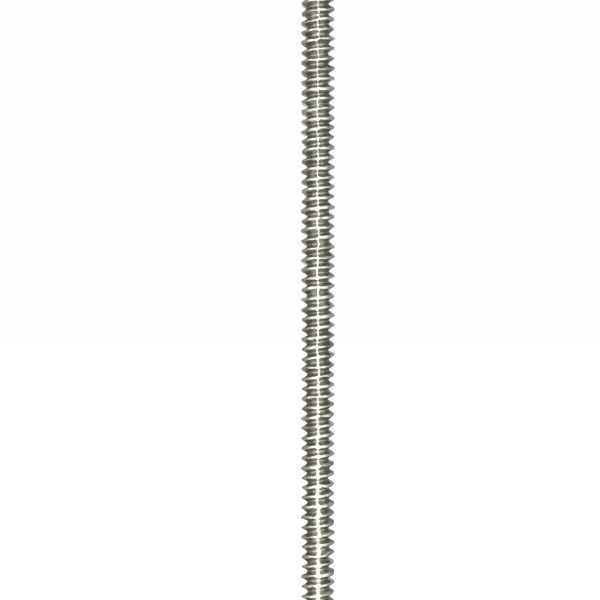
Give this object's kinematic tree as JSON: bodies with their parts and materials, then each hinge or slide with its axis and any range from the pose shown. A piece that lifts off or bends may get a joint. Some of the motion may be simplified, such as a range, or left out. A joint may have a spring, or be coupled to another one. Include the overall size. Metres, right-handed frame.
{
  "type": "threaded rod",
  "caption": "Straight bright steel rod with a coarse 60 degree right-hand thread along its whole length and chamfered, square-cut ends. Nuts screw on from either end.",
  "frame": {"origin": "centre of the lower end face, on the bar's axis", "axes": "+Z along the bar's axis, from the lower end face to the upper one; X and Y across the bar"},
  "size_m": [0.008, 0.008, 0.15],
  "materials": {
    "bright_steel": "bright machined steel, slightly streaked round the bar along the thread"
  },
  "bodies": {
    "root": {"threaded_rod": "bright_steel"}
  },
  "joints": []
}
